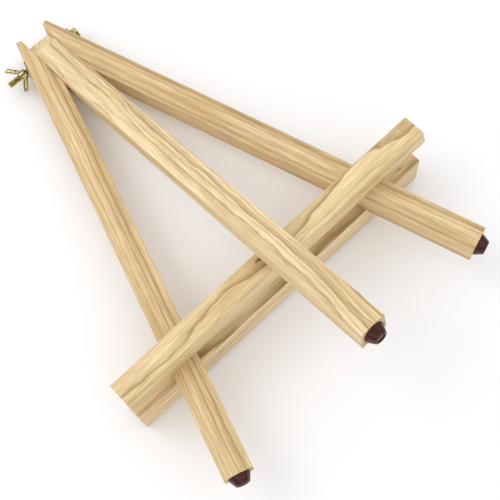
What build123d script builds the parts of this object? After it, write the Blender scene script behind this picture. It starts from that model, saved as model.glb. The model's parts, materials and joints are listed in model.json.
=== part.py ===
from build123d import *
import os
from math import asin, atan2, cos, degrees, hypot, radians, sin, tan

# A small tabletop artist's easel, folded and lying on its front.
#
# Every piece is first built in the easel's own axes, in millimetres:
#   origin  on the apex bolt's axis, midway between the two front legs
#   +X      to the right along the bolt
#   -Y      from the bolt down to the feet
#   +Z      out of the easel's back, away from the picture
# finish_place() then lays the whole easel on the floor, Z = 0.

# --- sticks -----------------------------------------------------------------
stick_width = 25.0            # wide side of the leg stock
stick_thick = 20.0            # narrow side of the leg stock
edge_ease = 0.6               # small sanded bevel on the long edges

# --- front legs -------------------------------------------------------------
leg_below_bolt = 426.2        # bolt to foot end, along a front leg's centreline
leg_above_bolt = 22.5         # bolt to tip, along the same line
half_splay = 17.0             # each front leg from the middle line, degrees
leg_root_offset = 12.9        # middle line to a leg's centreline, at the bolt

# --- rear leg ---------------------------------------------------------------
rear_below_bolt = 421.5
rear_above_bolt = 23.0
rear_bevel_start = 0.5        # where the back bevel starts, below the bolt
rear_bevel_end_thick = 8.5    # thickness that the bevel leaves at the top

# --- crossbar ---------------------------------------------------------------
shelf_length = 330.0
rear_bar_length = 331.6       # along the rear bar's back, from the flush left ends
shelf_width = 25.0            # shelf bar, along the legs
shelf_depth = 35.0            # shelf bar, front to back
shelf_foot_side = 317.4       # bolt's axis to the shelf bar's lower side
rear_bar_width = 20.8         # rear bar, along the legs
rear_bar_depth = 25.0         # rear bar, front to back
rear_bar_foot_side = 313.9    # bolt's axis to the rear bar's lower side
rear_bar_rake = 14.0          # slope of the rear bar's right end, degrees

# --- fasteners --------------------------------------------------------------
bolt_radius = 3.0             # M6
thread_pitch = 1.0
hex_flats = 10.0
hex_height = 4.0
apex_bolt_past_nut = 12.5     # apex bolt's end beyond its nut's hub
shelf_bolt_past_nut = 1.4
counterbore_depth = 6.5       # pocket for the shelf bolt's head
counterbore_radius = 9.5
washer_radius = 9.6
washer_thick = 1.2
shelf_washer_radius = 8.0
hub_radius = 5.6
hub_top_radius = 4.5
hub_height = 7.4
apex_wing_span = 34.0
apex_wing_height = 15.3
shelf_wing_span = 33.0
shelf_wing_height = 10.8
wing_thick = 3.4
wing_width = 5.0
wing_root_depth = 1.5         # how far a wing's root is sunk in the hub
wing_root_base = 1.6          # where a wing leaves the hub, above its base
wing_knee_out = 1.2           # the wing's lower bend, past the hub's base
wing_knee_height = 2.6
wing_end_round = 1.4
apex_nut_turn = 5.0           # how far each wing nut is turned, degrees
shelf_nut_turn = -6.0

# --- feet -------------------------------------------------------------------
foot_base_radius = 9.5
foot_tip_radius = 5.8
foot_length = 8.0
foot_rim = 1.2                # straight rim at the foot's base
foot_tip_round = 0.8
foot_recess_radius = 3.9
foot_recess_depth = 3.2
foot_washer_thick = 0.8
screw_radius = 1.75
screw_length = 22.0
screw_head_radius = 3.2
screw_head_height = 1.8
screw_head_round = 0.9
screw_slot_length = 3.6       # cross slot in the head
screw_slot_width = 0.8
screw_slot_depth = 0.8
screw_point = 5.0
pilot_beyond = 1.0            # pilot hole past the screw's point

# --- clearances -------------------------------------------------------------
joint_gap = 0.3               # between pieces that move past each other
nut_clearance = 0.55          # folded rear leg over the crossbar's wing nut, at any turn
running_gap = 0.05            # radial, shaft in a hole
tilted_hole_gap = 0.45        # radial, bolt through a washer that lies aslant
seat_gap = 0.02               # between pieces screwed tight on each other
assembly_gap = 0.15           # between an insert and its pocket

# --- worked out from the above ----------------------------------------------
splay = radians(half_splay)
half_width = stick_width / 2
half_thick = stick_thick / 2
hole_radius = bolt_radius + running_gap
inner_face = half_width + joint_gap
outer_face_at_bolt = leg_root_offset + half_width / cos(splay)
bar_face = half_thick + joint_gap
shelf_bolt_y = -(rear_bar_foot_side - rear_bar_width / 2)
rear_bar_back = bar_face + rear_bar_depth
shelf_front = bar_face + shelf_depth
shelf_nut_seat = rear_bar_back + seat_gap + washer_thick + joint_gap
left_end = -shelf_length / 2
wing_tip_y = -shelf_bolt_y - hypot(shelf_wing_span / 2, wing_thick / 2)
wing_tip_z = shelf_nut_seat + shelf_wing_height + nut_clearance
fold = atan2(wing_tip_z, wing_tip_y) + asin(half_thick / hypot(wing_tip_y, wing_tip_z))
rear_fold = degrees(fold)     # rear leg from the front legs' plane
tip_reach = leg_above_bolt * cos(splay) + half_width * sin(splay)
heel_reach = rear_above_bolt * cos(fold) - half_thick * sin(fold)
heel_depth = rear_above_bolt * sin(fold) + half_thick * cos(fold)
shelf_edge_reach = shelf_foot_side - shelf_width
tip_slope = atan2(shelf_front - half_thick, shelf_edge_reach + tip_reach)
heel_slope = atan2(shelf_front - heel_depth, shelf_edge_reach + heel_reach)
lie_angle = degrees(min(tip_slope, heel_slope))


def stick(width, length, thick):
    """A planed stick along Y, centred on X and Z, with eased long edges."""
    blank = Box(width, length, thick)
    return chamfer(blank.edges().filter_by(Axis.Y), edge_ease)


def hole_along(axis_place, radius, length):
    """A round cutter centred on a place, along that place's own Z."""
    return axis_place * Cylinder(radius, length)


def leg_place(side):
    """Front leg's own frame: origin level with the bolt, -Y to the foot. side is -1 or 1."""
    return Location((side * leg_root_offset, 0, 0), (0, 0, side * half_splay))


def foot_place(side):
    """Middle of a leg's foot end, with -Y out of the end. side 0 is the rear leg."""
    if side:
        return leg_place(side) * Location((0, -leg_below_bolt, 0))
    return rear_place() * Location((0, -rear_below_bolt, 0))


def rear_place():
    """Rear leg's own frame: origin on the bolt, -Y to the foot."""
    return Location((0, 0, 0), (-rear_fold, 0, 0))


def bolt_place():
    """Apex bolt's frame: origin at the middle line, +Z to the bolt's head on the right."""
    return Location((0, 0, 0), (0, 90, 0))


def shelf_bolt_place():
    """Shelf bolt's frame: origin midway between the bars, +Z out of the back."""
    return Location((0, shelf_bolt_y, 0))


def pilot_hole(side):
    """The screw's hole in a leg's foot end."""
    depth = screw_length - foot_length + foot_recess_depth + pilot_beyond
    axis_place = foot_place(side) * Location((0, depth / 2, 0), (90, 0, 0))
    return hole_along(axis_place, screw_radius + running_gap, depth)


def front_leg(side):
    """A stick with a square tip, cut away on its inner side to lie flat on the rear leg."""
    length = leg_below_bolt + leg_above_bolt
    middle = (leg_above_bolt - leg_below_bolt) / 2
    leg = leg_place(side) * Location((0, middle, 0)) * stick(stick_width, length, stick_thick)
    waste = Box(2 * stick_width, 4 * stick_width, 2 * stick_thick)
    leg -= Location((side * (inner_face - stick_width), 0, 0)) * waste
    leg -= hole_along(bolt_place(), hole_radius, 6 * stick_width)
    return leg - pilot_hole(side)


def rear_leg():
    """A stick that swings on the bolt, bevelled on its back at the top end."""
    length = rear_below_bolt + rear_above_bolt
    middle = (rear_above_bolt - rear_below_bolt) / 2
    leg = Location((0, middle, 0)) * stick(stick_width, length, stick_thick)
    drop = stick_thick - rear_bevel_end_thick
    run = rear_above_bolt + rear_bevel_start
    slope = drop / run
    beyond = 10.0
    corner = (-rear_bevel_start, half_thick)
    end = (rear_above_bolt + beyond, half_thick - drop - slope * beyond)
    wedge = Polyline(corner, end, (end[0], half_thick + beyond), (corner[0], half_thick + beyond), close=True)
    leg -= extrude(Plane.YZ * make_face(wedge), stick_width, both=True)
    leg -= hole_along(bolt_place(), hole_radius, 2 * stick_width)
    return rear_place() * leg - pilot_hole(0)


def rear_clamp_bar():
    """The bar behind the legs, on edge, with one raked end."""
    rake_run = rear_bar_depth * tan(radians(rear_bar_rake))
    blank_length = rear_bar_length + rake_run
    blank = Box(blank_length, rear_bar_width, rear_bar_depth)
    blank = chamfer(blank.edges().filter_by(Axis.X), edge_ease)
    bar = Location((left_end + blank_length / 2, shelf_bolt_y, bar_face + rear_bar_depth / 2)) * blank
    top = (left_end + rear_bar_length, rear_bar_back)
    low = (top[0] + rake_run, bar_face)
    beyond = rear_bar_depth
    far = low[0] + beyond
    outline = Polyline(low, top, (top[0], top[1] + beyond), (far, top[1] + beyond), (far, low[1]), close=True)
    bar -= Location((0, shelf_bolt_y, 0)) * extrude(Plane.XZ * make_face(outline), rear_bar_width, both=True)
    return bar - hole_along(shelf_bolt_place(), hole_radius, 4 * shelf_front)


def shelf_bar():
    """The deeper bar in front of the legs, which carries the picture."""
    middle_y = -(shelf_foot_side - shelf_width / 2)
    middle_z = -(bar_face + shelf_depth / 2)
    blank = Box(shelf_length, shelf_width, shelf_depth)
    bar = Location((0, middle_y, middle_z)) * chamfer(blank.edges().filter_by(Axis.X), edge_ease)
    bar -= hole_along(shelf_bolt_place(), hole_radius, 4 * shelf_front)
    pocket_place = shelf_bolt_place() * Location((0, 0, -shelf_front + counterbore_depth / 2))
    return bar - hole_along(pocket_place, counterbore_radius, counterbore_depth)


def spacer_block():
    """Fills the left end between the bars, with its inner end cut to the leg's slope."""
    blank = Box(shelf_length / 2, rear_bar_width, 2 * bar_face - 2 * seat_gap)
    waste = Box(shelf_length, 2 * leg_below_bolt, 2 * stick_thick)
    beside_leg = Location((shelf_length / 2 - half_width - joint_gap, -leg_below_bolt / 2, 0))
    block = Location((left_end / 2, shelf_bolt_y, 0)) * blank
    return block - leg_place(-1) * beside_leg * waste


def foot(side):
    """A turned rubber cone with a pocket for its screw, on a leg's end."""
    base = Location((0, -foot_rim / 2 - seat_gap, 0), (90, 0, 0)) * Cylinder(foot_base_radius, foot_rim)
    taper = foot_length - foot_rim
    cone_place = Location((0, -foot_rim - taper / 2 - seat_gap, 0), (90, 0, 0))
    body = base + cone_place * Cone(foot_base_radius, foot_tip_radius, taper)
    tip = body.edges().filter_by(GeomType.CIRCLE).sort_by(Axis.Y)[0]
    body = fillet(tip, foot_tip_round)
    recess_place = Location((0, -foot_length - seat_gap + foot_recess_depth / 2, 0), (90, 0, 0))
    body -= hole_along(recess_place, foot_recess_radius, foot_recess_depth)
    body -= hole_along(Location((0, -foot_length / 2, 0), (90, 0, 0)), screw_radius + running_gap, 2 * foot_length)
    return foot_place(side) * body


def foot_washer(side):
    """A flat steel ring at the bottom of the foot's pocket."""
    y = -foot_length - seat_gap + foot_recess_depth - foot_washer_thick / 2 - seat_gap
    ring = Cylinder(foot_recess_radius - assembly_gap, foot_washer_thick)
    ring -= Cylinder(screw_radius + running_gap, 2 * foot_washer_thick)
    return foot_place(side) * Location((0, y, 0), (90, 0, 0)) * ring


def foot_screw(side):
    """A pan-head wood screw through the washer and foot into the leg's end grain."""
    seat = -foot_length + foot_recess_depth - foot_washer_thick - 3 * seat_gap
    head = Location((0, seat - screw_head_height / 2, 0), (90, 0, 0))
    head = head * Cylinder(screw_head_radius, screw_head_height)
    rim = head.edges().filter_by(GeomType.CIRCLE).sort_by(Axis.Y)[0]
    head = fillet(rim, screw_head_round)
    slot = Location((0, seat - screw_head_height, 0))
    head -= slot * Box(screw_slot_length, 2 * screw_slot_depth, screw_slot_width)
    head -= slot * Box(screw_slot_width, 2 * screw_slot_depth, screw_slot_length)
    straight = screw_length - screw_point
    shank = Location((0, seat + straight / 2, 0), (90, 0, 0)) * Cylinder(screw_radius, straight)
    tip_place = Location((0, seat + straight + screw_point / 2, 0), (-90, 0, 0))
    tip = tip_place * Cone(screw_radius, 0.2, screw_point)
    return foot_place(side) * (head + shank + tip)


def hex_bolt(grip):
    """A hex bolt along Z: the head above Z = 0, the threaded end at -grip."""
    head = extrude(RegularPolygon(hex_flats / 2, 6, major_radius=False), hex_height)
    dome = Location((0, 0, hex_height / 2)) * Cone(hex_flats * 0.72, hex_flats * 0.47, hex_height)
    shank = Location((0, 0, -grip / 2)) * Cylinder(bolt_radius, grip)
    end = shank.edges().filter_by(GeomType.CIRCLE).sort_by(Axis.Z)[0]
    return (head & dome) + chamfer(end, thread_pitch * 0.6)


def wing_nut(span, height):
    """A wing nut along Z, its base at Z = 0: a tapered hub and two raised finger wings."""
    hub = Location((0, 0, hub_height / 2)) * Cone(hub_radius, hub_top_radius, hub_height)
    reach = span / 2
    root_low = (hub_top_radius - wing_root_depth, wing_root_base)
    root_high = (hub_top_radius - wing_root_depth, hub_height - 0.3)
    lean = (reach - hub_top_radius, height - hub_height + 0.8)
    long = (lean[0] ** 2 + lean[1] ** 2) ** 0.5
    across = (lean[1] / long * wing_width, -lean[0] / long * wing_width)
    tip_high = (reach - across[0], height)
    tip_low = (reach, height + across[1])
    knee = (hub_radius + wing_knee_out, wing_knee_height)
    outline = Polyline(root_low, knee, tip_low, tip_high, root_high, close=True)
    wing = extrude(Plane.XZ * make_face(outline), wing_thick / 2, both=True)
    ends = wing.edges().filter_by(Axis.Y).sort_by(Axis.X)[-2:]
    wing = fillet(ends, wing_end_round)
    nut = hub + wing + mirror(wing, Plane.YZ)
    return nut - Cylinder(hole_radius, 4 * height)


def plain_washer(radius, hole):
    """A flat washer along Z, its underside at Z = 0."""
    return Location((0, 0, washer_thick / 2)) * (Cylinder(radius, washer_thick) - Cylinder(hole, 2 * washer_thick))


def apex_washer(side):
    """Lies flat on a front leg's outer face, so it is aslant on the bolt."""
    drift = (half_width + washer_thick / 2) * tan(splay)
    face_place = leg_place(side) * Location((side * (half_width + seat_gap), -drift, 0), (0, side * 90, 0))
    return face_place * plain_washer(washer_radius, bolt_radius + tilted_hole_gap)


def clamp_face():
    """Middle line to the flat under the bolt's head or its nut, which bears on the washer's rim."""
    return outer_face_at_bolt + washer_thick / cos(splay) + hub_radius * tan(splay) + joint_gap


def apex_bolt():
    """Runs through both front legs and the rear leg, head on the right."""
    grip = 2 * clamp_face() + hub_height + apex_bolt_past_nut
    return bolt_place() * Location((0, 0, clamp_face())) * hex_bolt(grip)


def apex_wing_nut():
    """Screws onto the bolt's left end and clamps the three legs."""
    seat = Location((-clamp_face(), 0, 0), (0, -90, 0))
    return seat * Location((0, 0, 0), (0, 0, 90 + apex_nut_turn)) * wing_nut(apex_wing_span, apex_wing_height)


def shelf_bolt():
    """Squeezes the two bars onto the legs, head sunk in the shelf bar's front."""
    seat = -shelf_front + counterbore_depth - seat_gap - washer_thick - seat_gap
    grip = shelf_nut_seat - seat + hub_height + shelf_bolt_past_nut
    return shelf_bolt_place() * Location((0, 0, seat), (180, 0, 0)) * hex_bolt(grip)


def shelf_bolt_washer():
    """Under the shelf bolt's head, in its pocket."""
    seat = Location((0, 0, -shelf_front + counterbore_depth - seat_gap), (180, 0, 0))
    return shelf_bolt_place() * seat * plain_washer(shelf_washer_radius, hole_radius)


def shelf_nut_washer():
    """Between the shelf wing nut and the rear bar."""
    seat = Location((0, 0, rear_bar_back + seat_gap))
    return shelf_bolt_place() * seat * plain_washer(shelf_washer_radius, hole_radius)


def shelf_wing_nut():
    """Clamps the crossbar, close under the folded rear leg."""
    seat = Location((0, 0, shelf_nut_seat), (0, 0, shelf_nut_turn))
    return shelf_bolt_place() * seat * wing_nut(shelf_wing_span, shelf_wing_height)


nodes = {
    "front_leg_left": front_leg(-1),
    "front_leg_right": front_leg(1),
    "rear_leg": rear_leg(),
    "rear_clamp_bar": rear_clamp_bar(),
    "shelf_bar": shelf_bar(),
    "spacer_block": spacer_block(),
    "apex_bolt": apex_bolt(),
    "apex_washer_left": apex_washer(-1),
    "apex_washer_right": apex_washer(1),
    "apex_wing_nut": apex_wing_nut(),
    "shelf_bolt": shelf_bolt(),
    "shelf_bolt_washer": shelf_bolt_washer(),
    "shelf_nut_washer": shelf_nut_washer(),
    "shelf_wing_nut": shelf_wing_nut(),
}
for leg_name, leg_side in (("left", -1), ("right", 1), ("rear", 0)):
    nodes["foot_" + leg_name] = foot(leg_side)
    nodes["foot_washer_" + leg_name] = foot_washer(leg_side)
    nodes["foot_screw_" + leg_name] = foot_screw(leg_side)


def finish_place():
    """Tip the easel onto its shelf bar and top end, and centre it over the floor's origin."""
    tipped = Location((0, 0, 0), (-lie_angle, 0, 0))
    box = Compound(children=[tipped * shape for shape in nodes.values()]).bounding_box()
    middle = box.center()
    return Location((-middle.X, -middle.Y, -box.min.Z)) * tipped


place = finish_place()
os.makedirs("parts", exist_ok=True)
for name, shape in nodes.items():
    export_step(place * shape, f"parts/{name}.step")
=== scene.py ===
import json
from math import cos, pi, radians

import bmesh
import bpy
from mathutils import Euler, Matrix, Vector


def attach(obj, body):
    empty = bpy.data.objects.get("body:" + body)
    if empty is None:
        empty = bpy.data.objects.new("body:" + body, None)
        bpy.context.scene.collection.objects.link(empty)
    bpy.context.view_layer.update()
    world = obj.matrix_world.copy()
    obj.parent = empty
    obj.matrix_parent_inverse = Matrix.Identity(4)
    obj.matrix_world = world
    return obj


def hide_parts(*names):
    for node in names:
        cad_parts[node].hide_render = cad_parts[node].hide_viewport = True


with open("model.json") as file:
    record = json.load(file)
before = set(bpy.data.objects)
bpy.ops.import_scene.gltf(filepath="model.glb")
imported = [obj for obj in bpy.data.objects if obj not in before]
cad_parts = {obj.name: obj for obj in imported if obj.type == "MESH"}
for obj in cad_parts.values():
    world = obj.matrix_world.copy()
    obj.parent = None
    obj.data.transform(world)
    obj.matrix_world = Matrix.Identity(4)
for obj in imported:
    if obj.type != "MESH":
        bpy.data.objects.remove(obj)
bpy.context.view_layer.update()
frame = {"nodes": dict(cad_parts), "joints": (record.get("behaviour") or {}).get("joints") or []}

# --- front legs -------------------------------------------------------------
# Two planed sticks of pale ash, 25 x 20 mm, that splay from the apex bolt.
# Each is one solid length with lightly sanded arrises and a thin satin oil,
# mitred on its inner side at the top to clear the rear leg.
mm = 0.001
half_splay = 17.0
leg_root_offset = 12.9
joints = {joint["name"]: joint for joint in frame["joints"]}


def easel_axes():
    """The easel's own axes: origin on the apex bolt, +Y up the legs, +Z out of the back."""
    across = Vector((1, 0, 0))
    back = Vector(joints["shelf_nut_spin"]["axis"]).normalized()
    turn = Matrix((across, back.cross(across), back)).transposed()
    return Matrix.Translation(joints["rear_leg_hinge"]["pos_m"]) @ turn.to_4x4()


def moved(x, y, z, turn_x=0.0, turn_y=0.0, turn_z=0.0):
    """A place in millimetres and degrees, as a matrix in metres."""
    turn = Euler((radians(turn_x), radians(turn_y), radians(turn_z))).to_matrix()
    return Matrix.Translation(Vector((x, y, z)) * mm) @ turn.to_4x4()


def colour(code):
    """Linear colour of an sRGB hex code."""
    parts = [int(code[at:at + 2], 16) / 255 for at in (1, 3, 5)]
    return tuple(c / 12.92 if c <= 0.04045 else ((c + 0.055) / 1.055) ** 2.4 for c in parts) + (1.0,)


def add(tree, kind, inputs=None, **settings):
    """Add a node. Each input is a plain value, or another node's output to link."""
    node = tree.nodes.new("ShaderNode" + kind)
    for name, value in settings.items():
        setattr(node, name, value)
    for socket, value in (inputs or {}).items():
        if isinstance(value, bpy.types.NodeSocket):
            tree.links.new(value, node.inputs[socket])
        else:
            node.inputs[socket].default_value = value
    return node


def set_stops(ramp_node, stops):
    """Give a colour ramp its stops, as pairs of a place and a grey value or a linear colour."""
    elements = ramp_node.color_ramp.elements
    while len(elements) < len(stops):
        elements.new(1.0)
    for element, (at, shade) in zip(elements, stops):
        element.position = at
        element.color = shade if isinstance(shade, tuple) else (shade, shade, shade, 1.0)


def new_material(name):
    """An empty material and its node tree."""
    material = bpy.data.materials.new(name)
    material.use_nodes = True
    material.node_tree.nodes.clear()
    return material, material.node_tree


def wood(name, stick, pith, tilt, ring, bands=(), line=0.55, wander=4.0, ripple=1.0,
         pale="#F3DCAA", dark="#A98B52", tone="#E2C28C", fibre=0.24, grain_from=0.0, knots=()):
    """Oiled, planed wood, cut from a log whose pith lies beside the stick.

    stick is the stick's axes with the grain along Y; pith is how far the log's middle lies
    from it in X and Z; ring is one year's growth; bands are darker years, each a radius, a
    half width and a strength; knots are places on the stick with a size. Lengths are in mm.
    """
    material, tree = new_material(name)
    log = stick @ moved(pith[0], 0, pith[1], tilt[0], 0, tilt[1])
    place = add(tree, "TexCoord")
    in_log = add(tree, "Mapping", {
        "Vector": place.outputs["Object"],
        "Location": log.translation,
        "Rotation": log.to_euler("XYZ"),
        "Scale": (mm, mm, mm),
    }, vector_type="TEXTURE").outputs[0]

    def noise(across, along, detail, offset=0.0):
        """Noise whose blotches are that size across and along the grain."""
        stretched = add(tree, "Mapping", {
            "Vector": in_log,
            "Location": (grain_from + offset, offset, grain_from),
            "Scale": (1 / across, 1 / along, 1 / across),
        })
        return add(tree, "TexNoise", {
            "Vector": stretched.outputs[0], "Scale": 1.0, "Detail": detail, "Roughness": 0.55,
        })

    def shifted(blotches, size):
        """A sideways shift of up to half that size each way."""
        return add(tree, "VectorMath", {
            0: blotches.outputs["Color"], 1: (size, 0, size), 2: (-size / 2, 0, -size / 2),
        }, operation="MULTIPLY_ADD").outputs[0]

    slow = shifted(noise(40, 130, 1.0), 2 * wander)
    quick = shifted(noise(8, 34, 2.0, 7.0), 2 * ripple)
    bent = add(tree, "VectorMath", {0: in_log, 1: slow}, operation="ADD").outputs[0]
    bent = add(tree, "VectorMath", {0: bent, 1: quick}, operation="ADD").outputs[0]
    flat = add(tree, "VectorMath", {0: bent, 1: (1, 0, 1)}, operation="MULTIPLY").outputs[0]
    radius = add(tree, "VectorMath", {0: flat}, operation="LENGTH").outputs["Value"]
    knot_shades = []
    for across, along, depth, size in knots:
        centre = (log.inverted() @ (stick @ (Vector((across, along, depth)) * mm))) / mm
        away = add(tree, "VectorMath", {0: bent, 1: centre}, operation="SUBTRACT").outputs[0]
        away = add(tree, "VectorMath", {0: away, 1: (1, 0.4, 1)}, operation="MULTIPLY").outputs[0]
        away = add(tree, "VectorMath", {0: away}, operation="LENGTH").outputs["Value"]
        knot_shades.append(add(tree, "MapRange", {
            "Value": away, "From Min": 0.4 * size, "From Max": 1.5 * size, "To Min": 0.9, "To Max": 0.0,
        }).outputs[0])
        push = add(tree, "MapRange", {
            "Value": away, "From Min": 0.0, "From Max": 6 * size, "To Min": 2.2 * size, "To Max": 0.0,
        }, interpolation_type="SMOOTHSTEP").outputs[0]
        radius = add(tree, "Math", {0: radius, 1: push}, operation="ADD").outputs[0]

    years = add(tree, "Math", {0: radius, 1: 1 / ring}, operation="MULTIPLY").outputs[0]
    uneven = add(tree, "TexNoise", {
        "W": add(tree, "Math", {0: years, 1: 0.37, 2: grain_from}, operation="MULTIPLY_ADD").outputs[0],
        "Scale": 1.0, "Detail": 1.0,
    }, noise_dimensions="1D").outputs[0]
    phase = add(tree, "Math", {0: uneven, 1: 1.8, 2: years}, operation="MULTIPLY_ADD").outputs[0]
    growth = add(tree, "ValToRGB", {0: add(tree, "Math", {0: phase}, operation="FRACT").outputs[0]})
    set_stops(growth, ((0.0, 0.02), (0.45, 0.06), (0.72, 0.35), (0.9, 1.0), (1.0, 0.02)))
    strength = add(tree, "TexNoise", {
        "W": add(tree, "Math", {0: years, 1: 0.71, 2: grain_from + 31}, operation="MULTIPLY_ADD").outputs[0],
        "Scale": 1.0, "Detail": 0.0,
    }, noise_dimensions="1D").outputs[0]
    strength = add(tree, "MapRange", {
        "Value": strength, "From Min": 0.32, "From Max": 0.68, "To Min": 0.4 * line, "To Max": line,
    }).outputs[0]
    darkness = add(tree, "Math", {0: growth.outputs[0], 1: strength}, operation="MULTIPLY").outputs[0]

    if bands:
        first = bands[0][0] - bands[0][1] - 1
        span = bands[-1][0] + bands[-1][1] + 1 - first
        stops = [(0.0, 0.0)]
        for middle, half, value in bands:
            stops += [((middle - half - first) / span, 0.0), ((middle - first) / span, value),
                      ((middle + half - first) / span, 0.0)]
        stops.append((1.0, 0.0))
        along = add(tree, "MapRange", {"Value": radius, "From Min": first, "From Max": first + span})
        banded = add(tree, "ValToRGB", {0: along.outputs[0]})
        set_stops(banded, stops)
        darkness = add(tree, "Math", {0: darkness, 1: banded.outputs[0]}, operation="ADD",
                       use_clamp=True).outputs[0]

    for shade in knot_shades:
        darkness = add(tree, "Math", {0: darkness, 1: shade}, operation="MAXIMUM").outputs[0]
    patches = noise(7, 120, 2.0, 13.0).outputs["Fac"]
    patches = add(tree, "MapRange", {
        "Value": patches, "From Min": 0.35, "From Max": 0.7, "To Min": 0.0, "To Max": 1.0,
    }).outputs[0]
    ground = add(tree, "Mix", {"Factor": patches, 6: colour(pale), 7: colour(tone)}, data_type="RGBA")
    lined = add(tree, "Mix", {"Factor": darkness, 6: ground.outputs[2], 7: colour(dark)}, data_type="RGBA")
    hairs = noise(1.0, 22, 3.0, 3.0).outputs["Fac"]
    light = add(tree, "MapRange", {
        "Value": hairs, "From Min": 0.3, "From Max": 0.7, "To Min": 1 - fibre, "To Max": 1 + fibre / 2,
    }).outputs[0]
    grain = (stick.to_3x3() @ Vector((0, 1, 0))).normalized()
    facing = add(tree, "VectorMath", {0: place.outputs["Normal"], 1: grain}, operation="DOT_PRODUCT")
    sawn_end = add(tree, "Math", {0: facing.outputs["Value"]}, operation="ABSOLUTE").outputs[0]
    end_shade = add(tree, "MapRange", {
        "Value": sawn_end, "From Min": 0.8, "From Max": 1.0, "To Min": 1.0, "To Max": 0.86,
    }).outputs[0]
    light = add(tree, "Math", {0: light, 1: end_shade}, operation="MULTIPLY").outputs[0]
    final = add(tree, "VectorMath", {0: lined.outputs[2], "Scale": light}, operation="SCALE").outputs[0]
    relief = add(tree, "Math", {0: hairs, 1: 0.6, 2: darkness}, operation="MULTIPLY_ADD").outputs[0]
    bump = add(tree, "Bump", {"Height": relief, "Strength": 0.12, "Distance": 0.1 * mm})
    gloss = add(tree, "MapRange", {
        "Value": hairs, "From Min": 0.3, "From Max": 0.7, "To Min": 0.46, "To Max": 0.6,
    }).outputs[0]
    surface = add(tree, "BsdfPrincipled", {
        "Base Color": final, "Roughness": gloss, "Normal": bump.outputs[0],
        "Specular IOR Level": 0.45,
    })
    add(tree, "OutputMaterial", {"Surface": surface.outputs[0]})
    return material


def finish_node(name, material):
    """Give a part of the fixed frame its material."""
    for material_slot in frame["nodes"][name].material_slots:
        material_slot.material = material


easel = easel_axes()
left_leg = easel @ moved(-leg_root_offset, 0, 0, 0, 0, -half_splay)
right_leg = easel @ moved(leg_root_offset, 0, 0, 0, 0, half_splay)
finish_node("front_leg_left", wood(
    "oiled_ash_left_leg", left_leg, (-34, -14), (0.5, 0.3), 2.4,
    ((43.4, 0.9, 0.45), (47.4, 2.0, 0.65)),
    line=0.6, wander=2.5, ripple=1.2, pale="#EACF9F", dark="#9C7E45", tone="#D8B783", grain_from=2.0))
finish_node("front_leg_right", wood(
    "oiled_ash_right_leg", right_leg, (-40, 6), (-0.2, -0.2), 5.0,
    ((32.0, 1.8, 0.6), (50.5, 3.5, 0.5)),
    line=0.5, wander=2.0, ripple=0.7, pale="#E9CE9F", dark="#9C7C44", tone="#D3B17C", grain_from=5.0))

# --- rear leg ---------------------------------------------------------------
# The third stick, of the same ash, bevelled on its back where it meets the
# bolt. It is cut nearer the heart of its log, so the rings on it curve most.
rear_fold = 11.5
rear_axes = easel @ moved(0, 0, 0, -rear_fold, 0, 0)
finish_node("rear_leg", wood(
    "oiled_ash_rear_leg", rear_axes, (-19, -21), (0.8, -0.6), 2.7,
    ((44.0, 1.0, 0.5),),
    line=1.0, wander=6.0, ripple=1.6, pale="#F6DEB0", dark="#A08450", tone="#DFC18C", grain_from=9.0))

# --- crossbar ---------------------------------------------------------------
# Two bars that grip the front legs: a square one behind and a deeper one in
# front, which carries the picture, with a filler block at their left end.
# All are the same planed ash, cut along the bars.
rear_bar_y = -303.5
rear_bar_z = 22.8
shelf_bar_y = -304.9
shelf_bar_z = -27.8
rear_bar_axes = easel @ moved(0, rear_bar_y, rear_bar_z, 0, 0, -90)
shelf_axes = easel @ moved(0, shelf_bar_y, shelf_bar_z, 0, 0, -90)
finish_node("rear_clamp_bar", wood(
    "oiled_ash_rear_bar", rear_bar_axes, (-14, -28), (-0.5, 0.6), 3.6,
    line=0.9, wander=5.0, ripple=1.3, pale="#F2D9A8", dark="#A5884F", tone="#DDBF8A", grain_from=14.0))
finish_node("shelf_bar", wood(
    "oiled_ash_shelf_bar", shelf_axes, (-8, -50), (0.3, -0.3), 4.8,
    line=1.2, wander=3.0, ripple=0.7, pale="#F8E2B8", dark="#96773F", tone="#DDBD8A", grain_from=21.0,
    knots=((5.6, 145.8, 17.5, 0.5),)))
finish_node("spacer_block", wood(
    "oiled_ash_filler_block", rear_bar_axes, (-20, -60), (0.8, 0.5), 2.6,
    pale="#E6C893", dark="#A08048", tone="#D4AF76", grain_from=27.0))

# --- apex bolt, washers and wing nut ----------------------------------------
# An M6 hex bolt through the three legs, with a flat washer under its head and
# its wing nut. All are steel with bright yellow zinc plating; the nut is cast,
# the washers are stamped, and the bolt's thread is rolled.
bolt_radius = 3.0
thread_pitch = 1.0
thread_root = 2.4
shank_radius = 2.92
bolt_tip_radius = 2.46
hex_flats = 10.0
hex_height = 4.0
head_rounding = 0.8
threaded_length = 30.0
washer_thick = 1.2
washer_rounding = 0.3
apex_nut_turn = 95.0


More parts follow.
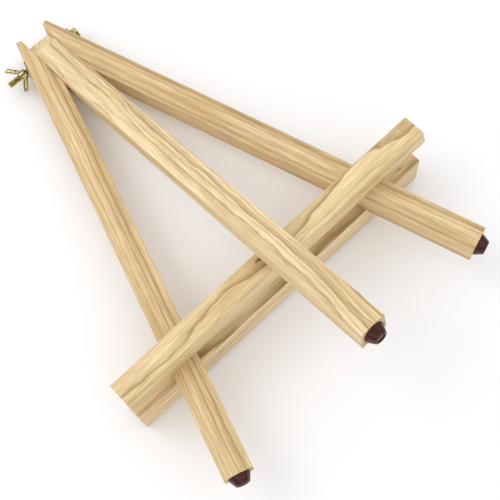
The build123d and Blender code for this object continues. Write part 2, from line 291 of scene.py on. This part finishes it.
def plated_steel(name, axes):
    """Yellow zinc on steel: mirror-like, with straw, olive and rosy clouds a few mm wide."""
    material, tree = new_material(name)
    place = add(tree, "TexCoord")
    on_part = add(tree, "Mapping", {
        "Vector": place.outputs["Object"],
        "Location": axes.translation,
        "Rotation": axes.to_euler("XYZ"),
        "Scale": (mm, mm, mm),
    }, vector_type="TEXTURE").outputs[0]
    clouds = add(tree, "TexNoise", {"Vector": on_part, "Scale": 0.35, "Detail": 3.0})
    tint = add(tree, "ValToRGB", {0: clouds.outputs["Fac"]})
    hues = ((0.32, "#574A28"), (0.46, "#C6B781"), (0.58, "#D9CC94"), (0.7, "#8C7648"))
    set_stops(tint, [(at, colour(code)) for at, code in hues])
    pits = add(tree, "TexNoise", {"Vector": on_part, "Scale": 2.5, "Detail": 4.0})
    gloss = add(tree, "MapRange", {
        "Value": pits.outputs["Fac"], "From Min": 0.3, "From Max": 0.7, "To Min": 0.14, "To Max": 0.32,
    }).outputs[0]
    bump = add(tree, "Bump", {"Height": pits.outputs["Fac"], "Strength": 0.25, "Distance": 0.1 * mm})
    surface = add(tree, "BsdfPrincipled", {
        "Base Color": tint.outputs[0], "Metallic": 1.0, "Roughness": gloss, "Normal": bump.outputs[0],
    })
    add(tree, "OutputMaterial", {"Surface": surface.outputs[0]})
    return material


def reach(node, axes):
    """Lowest and highest corner of a frame node along those axes, in millimetres."""
    inverse = axes.inverted()
    points = [inverse @ vertex.co / mm for vertex in frame["nodes"][node].data.vertices]
    low = Vector([min(point[k] for point in points) for k in range(3)])
    high = Vector([max(point[k] for point in points) for k in range(3)])
    return low, high


def put(shape, node, axes, material, body, crisp=35.0, rounding=0):
    """Turn a shape in millimetres into the piece that stands for a frame node."""
    bmesh.ops.transform(shape, matrix=axes @ Matrix.Scale(mm, 4), verts=shape.verts)
    bmesh.ops.recalc_face_normals(shape, faces=shape.faces)
    mesh = bpy.data.meshes.new(node + "_piece")
    shape.to_mesh(mesh)
    shape.free()
    mesh.polygons.foreach_set("use_smooth", [True] * len(mesh.polygons))
    mesh.set_sharp_from_angle(angle=radians(crisp))
    mesh.materials.append(material)
    piece = bpy.data.objects.new(node + "_piece", mesh)
    bpy.context.scene.collection.objects.link(piece)
    if rounding:
        smooth = piece.modifiers.new("rounding", "SUBSURF")
        smooth.levels = rounding
        smooth.render_levels = rounding
    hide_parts(node)
    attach(piece, body)
    return piece


def turned(shape, profile, segments=48):
    """Spin a closed profile of radius and height pairs about Z."""
    points = [shape.verts.new((radius, 0, height)) for radius, height in profile]
    edges = [shape.edges.new((points[k - 1], points[k])) for k in range(len(points))]
    bmesh.ops.spin(shape, geom=points + edges, cent=(0, 0, 0), axis=(0, 0, 1), angle=2 * pi,
                   steps=segments, use_merge=True, use_duplicate=False)
    bmesh.ops.remove_doubles(shape, verts=shape.verts, dist=0.001)


def threaded_rod(shape, start, length, steps=24):
    """A rolled thread about Z: a line of crests and roots spun once while it climbs one pitch."""
    turns = int(length / thread_pitch) + 3
    low = start - 1.5 * thread_pitch
    line = []
    for k in range(2 * turns + 1):
        radius = bolt_radius if k % 2 else thread_root
        line.append(shape.verts.new((radius, 0, low + k * thread_pitch / 2)))
    edges = [shape.edges.new(pair) for pair in zip(line, line[1:])]
    bmesh.ops.spin(shape, geom=line + edges, cent=(0, 0, 0), axis=(0, 0, 1), angle=2 * pi,
                   steps=steps, dvec=(0, 0, thread_pitch / steps), use_duplicate=False)
    bmesh.ops.remove_doubles(shape, verts=shape.verts, dist=0.001)
    for height, side in ((start, -1), (start + length, 1)):
        bmesh.ops.bisect_plane(shape, geom=shape.verts[:] + shape.edges[:] + shape.faces[:],
                               plane_co=(0, 0, height), plane_no=(0, 0, side), clear_outer=True, dist=0.0001)
    for vertex in shape.verts:
        chamfer_radius = bolt_tip_radius + vertex.co.z - start
        radius = vertex.co.xy.length
        if radius > chamfer_radius:
            vertex.co.xy *= chamfer_radius / radius
    open_edges = [edge for edge in shape.edges if edge.is_boundary]
    bmesh.ops.holes_fill(shape, edges=open_edges, sides=0)


def hex_bolt(grip, threaded):
    """A hex bolt along Z: its head above Z = 0, its threaded end at -grip."""
    shape = bmesh.new()
    threaded_rod(shape, -grip, threaded)
    shank = bmesh.ops.create_cone(shape, cap_ends=True, segments=24, radius1=shank_radius,
                                  radius2=shank_radius, depth=grip - threaded)
    bmesh.ops.translate(shape, verts=shank["verts"], vec=(0, 0, -(grip - threaded) / 2))
    corner = hex_flats / 2 / cos(pi / 6)
    head = bmesh.ops.create_cone(shape, cap_ends=True, segments=6, radius1=corner, radius2=corner,
                                 depth=hex_height)
    bmesh.ops.translate(shape, verts=head["verts"], vec=(0, 0, hex_height / 2))
    rim = [edge for edge in {e for v in head["verts"] for e in v.link_edges}
           if min(v.co.z for v in edge.verts) > hex_height - 0.01]
    bmesh.ops.bevel(shape, geom=rim, offset=head_rounding, affect="EDGES", segments=3, profile=0.5,
                    material=-1)
    return shape


def flat_washer(hole, radius):
    """A stamped washer about Z, its underside at Z = 0 and its outer edges eased."""
    shape = bmesh.new()
    eased = radius - washer_rounding
    turned(shape, ((hole, 0), (eased, 0), (radius, washer_rounding),
                   (radius, washer_thick - washer_rounding), (eased, washer_thick), (hole, washer_thick)))
    return shape


def wing_nut(span, height):
    """A cast wing nut along Z, base at Z = 0: a ring of twelve faces whose two side faces are drawn out.

    Each wing grows in steps. A step is how far out it ends, as a share of the whole wing, and
    how much taller and thicker it makes the wing's end than it was.
    """
    hub_height = 7.4
    hub_radius = 5.6
    hub_top = 4.5
    skirt_height = 2.0
    neck_height = 5.6
    bore = bolt_radius + 0.05
    middle_drop = 3.1
    wing_steps = ((0.14, 1.5, 1.5), (0.45, 1.0, 1.1), (0.93, 1.0, 1.0), (1.0, 0.95, 0.95))
    end_crease = 0.7
    shape = bmesh.new()
    profile = ((bore, 0), (hub_radius, 0), (hub_radius - 0.2, skirt_height), (hub_top + 0.3, neck_height),
               (hub_top, hub_height), (bore, hub_height))
    turned(shape, profile, segments=12)
    bmesh.ops.rotate(shape, verts=shape.verts, cent=(0, 0, 0), matrix=Matrix.Rotation(pi / 12, 3, "Z"))
    reach_out = span / 2
    slope = (height - hub_height) / (reach_out - hub_top)
    crease = shape.edges.layers.float.new("crease_edge")
    for side in (-1, 1):
        shape.faces.ensure_lookup_table()
        flank = [face for face in shape.faces if skirt_height < face.calc_center_median().z < neck_height]
        root = max(flank, key=lambda face: side * face.calc_center_median().x)
        for out, taller, thicker in wing_steps:
            grown = bmesh.ops.extrude_discrete_faces(shape, faces=[root])
            root = grown["faces"][0]
            middle = root.calc_center_median()
            x = hub_top + (reach_out - hub_top) * out
            z = hub_height + slope * (x - hub_top) - middle_drop
            bmesh.ops.scale(shape, verts=root.verts, vec=(1, thicker, taller),
                            space=Matrix.Translation(-middle))
            bmesh.ops.translate(shape, verts=root.verts, vec=(side * x - middle.x, 0, z - middle.z))
        for edge in root.edges:
            edge[crease] = end_crease
    bmesh.ops.remove_doubles(shape, verts=shape.verts, dist=0.001)
    return shape


nut_seat = -reach("apex_wing_nut", easel)[1].x
head_seat = reach("apex_bolt", easel)[1].x - hex_height
bolt_axes = easel @ moved(head_seat, 0, 0, 0, 90, 0)
grip = head_seat - reach("apex_bolt", easel)[0].x
apex_steel = plated_steel("yellow_zinc_apex", bolt_axes)
put(hex_bolt(grip, threaded_length), "apex_bolt", bolt_axes, apex_steel, "front_frame")
nut_axes = easel @ moved(-nut_seat, 0, 0, 0, -90, 0) @ moved(0, 0, 0, 0, 0, apex_nut_turn)
nut_steel = plated_steel("yellow_zinc_apex_nut", nut_axes)
put(wing_nut(span=31.6, height=14.9), "apex_wing_nut", nut_axes, nut_steel, "apex_wing_nut",
    crisp=180, rounding=2)
for name, axes, side in (("left", left_leg, -1), ("right", right_leg, 1)):
    low, high = reach("apex_washer_" + name, axes)
    middle = (low + high) / 2
    washer_axes = axes @ moved(side * min(abs(low.x), abs(high.x)), middle.y, middle.z, 0, side * 90, 0)
    put(flat_washer(hole=3.45, radius=9.6), "apex_washer_" + name, washer_axes, apex_steel,
        "front_frame")

# --- shelf bolt, washers and wing nut ---------------------------------------
# A second M6 bolt squeezes the two bars onto the legs. Its head is sunk in the
# shelf bar's front; its wing nut is on the back, just under the rear leg.
shelf_nut_turn = -6.0
washer_low, washer_high = reach("shelf_nut_washer", easel)
shelf_y = (washer_low.y + washer_high.y) / 2
shelf_seat = reach("shelf_wing_nut", easel)[0].z
bolt_low, bolt_high = reach("shelf_bolt", easel)
shelf_bolt_axes = easel @ moved(0, shelf_y, bolt_low.z + hex_height, 180, 0, 0)
shelf_steel = plated_steel("yellow_zinc_shelf", shelf_bolt_axes)
put(hex_bolt(bolt_high.z - bolt_low.z - hex_height, threaded_length), "shelf_bolt",
    shelf_bolt_axes, shelf_steel, "crossbar")
shelf_nut_axes = easel @ moved(0, shelf_y, shelf_seat, 0, 0, shelf_nut_turn)
shelf_nut_steel = plated_steel("yellow_zinc_shelf_nut", shelf_nut_axes)
put(wing_nut(span=32.6, height=10.6), "shelf_wing_nut", shelf_nut_axes, shelf_nut_steel,
    "shelf_wing_nut", crisp=180, rounding=2)
for name in ("shelf_nut_washer", "shelf_bolt_washer"):
    underside = reach(name, easel)[0].z
    put(flat_washer(hole=3.05, radius=8.0), name, easel @ moved(0, shelf_y, underside), shelf_steel,
        "crossbar")

# --- feet -------------------------------------------------------------------
# Each leg stands on a turned cone of hard brown rubber. A pan-head screw with
# a flat washer holds it, sunk in a pocket in the cone's narrow end.
foot_profile = ((1.8, 0.0), (9.2, 0.0), (9.5, 0.3), (9.5, 1.0), (9.3, 1.5), (6.1, 7.4), (5.7, 7.85),
                (5.1, 8.0), (4.3, 8.0), (3.9, 7.7), (3.9, 4.8), (1.8, 4.8))


def hard_rubber():
    """Moulded dark brown rubber: a soft gloss, faint mottling and fine scuffs."""
    material, tree = new_material("moulded_brown_rubber")
    place = add(tree, "TexCoord").outputs["Object"]
    mottle = add(tree, "TexNoise", {"Vector": place, "Scale": 300.0, "Detail": 4.0})
    tint = add(tree, "Mix", {
        "Factor": mottle.outputs["Fac"], 6: colour("#34140A"), 7: colour("#4E2214"),
    }, data_type="RGBA")
    scuffs = add(tree, "TexNoise", {"Vector": place, "Scale": 1400.0, "Detail": 3.0})
    gloss = add(tree, "MapRange", {
        "Value": mottle.outputs["Fac"], "From Min": 0.3, "From Max": 0.7, "To Min": 0.26, "To Max": 0.42,
    }).outputs[0]
    bump = add(tree, "Bump", {"Height": scuffs.outputs["Fac"], "Strength": 0.15, "Distance": 0.1 * mm})
    surface = add(tree, "BsdfPrincipled", {
        "Base Color": tint.outputs[2], "Roughness": gloss, "Normal": bump.outputs[0], "IOR": 1.5,
        "Specular IOR Level": 0.4,
    })
    add(tree, "OutputMaterial", {"Surface": surface.outputs[0]})
    return material


def bright_steel():
    """Zinc-plated steel of the small screws and washers: grey, half bright, finely scratched."""
    material, tree = new_material("bright_zinc_steel")
    place = add(tree, "TexCoord").outputs["Object"]
    scratches = add(tree, "TexNoise", {"Vector": place, "Scale": 900.0, "Detail": 4.0})
    tint = add(tree, "Mix", {
        "Factor": scratches.outputs["Fac"], 6: colour("#4E463E"), 7: colour("#7A7068"),
    }, data_type="RGBA")
    gloss = add(tree, "MapRange", {
        "Value": scratches.outputs["Fac"], "From Min": 0.3, "From Max": 0.7, "To Min": 0.25, "To Max": 0.45,
    }).outputs[0]
    surface = add(tree, "BsdfPrincipled", {
        "Base Color": tint.outputs[2], "Metallic": 1.0, "Roughness": gloss,
    })
    add(tree, "OutputMaterial", {"Surface": surface.outputs[0]})
    return material


rubber = hard_rubber()
screw_steel = bright_steel()
for name, axes, body in (("left", left_leg, "front_frame"), ("right", right_leg, "front_frame"),
                         ("rear", rear_axes, "rear_leg")):
    base = reach("foot_" + name, axes)[1].y
    foot_axes = axes @ moved(0, base, 0, 90, 0, 0)
    shape = bmesh.new()
    turned(shape, foot_profile)
    put(shape, "foot_" + name, foot_axes, rubber, body)
    finish_node("foot_washer_" + name, screw_steel)
    finish_node("foot_screw_" + name, screw_steel)

# --- floor, light and camera ------------------------------------------------
# A white table, a weak soft light from beyond the apex and an even white
# surround that the metal sees as light and dark bands. The view is from
# above, over the easel's left side.
table_reach = 12.0
key_place = Vector((-0.75, 1.0, 1.8))
camera_from_bolt = Vector((-163.64, -442.9047, 798.1985))
camera_turn = (16.8001, -0.13606, -43.47735)
floor_shape = bmesh.new()
bmesh.ops.create_grid(floor_shape, x_segments=1, y_segments=1, size=table_reach)
floor_mesh = bpy.data.meshes.new("table_top")
floor_shape.to_mesh(floor_mesh)
floor_shape.free()
floor_material, floor_tree = new_material("white_painted_table")
floor_surface = add(floor_tree, "BsdfPrincipled", {
    "Base Color": colour("#F8F8F9"), "Roughness": 0.7, "Specular IOR Level": 0.2,
})
add(floor_tree, "OutputMaterial", {"Surface": floor_surface.outputs[0]})
floor_mesh.materials.append(floor_material)
floor = bpy.data.objects.new("table_top", floor_mesh)
bpy.context.scene.collection.objects.link(floor)

surround = bpy.data.worlds.new("white_surround")
surround.use_nodes = True
sky = surround.node_tree
sky.nodes.clear()
upward = add(sky, "SeparateXYZ", {0: add(sky, "TexCoord").outputs["Generated"]}).outputs["Z"]
cards = add(sky, "ValToRGB", {0: upward})
set_stops(cards, ((0.0, 0.0), (0.44, 0.02), (0.52, 1.3), (0.7, 1.3), (0.78, 0.15), (1.0, 0.3)))
plain = add(sky, "Background", {"Color": colour("#FDFDFF"), "Strength": 1.02})
reflected = add(sky, "Background", {"Color": cards.outputs[0], "Strength": 1.0})
seen_in_gloss = add(sky, "LightPath").outputs["Is Glossy Ray"]
both = add(sky, "MixShader", {0: seen_in_gloss, 1: plain.outputs[0], 2: reflected.outputs[0]})
add(sky, "OutputWorld", {"Surface": both.outputs[0]})
bpy.context.scene.world = surround


lamp = bpy.data.lights.new("key_soft_box", "AREA")
lamp.size = 1.2
lamp.energy = 9.0
key_light = bpy.data.objects.new("key_soft_box", lamp)
key_light.location = key_place
key_light.rotation_euler = (-key_place).to_track_quat("-Z", "Y").to_euler()
bpy.context.scene.collection.objects.link(key_light)

camera_data = bpy.data.cameras.new("camera")
camera_data.lens = 68.077
camera_data.sensor_width = 36.0
camera_data.clip_start = 0.05
camera = bpy.data.objects.new("camera", camera_data)
camera.location = Vector(joints["rear_leg_hinge"]["pos_m"]) + camera_from_bolt * mm
camera.rotation_euler = Euler([radians(angle) for angle in camera_turn])
bpy.context.scene.collection.objects.link(camera)
bpy.context.scene.camera = camera
bpy.context.scene.view_settings.view_transform = "Standard"
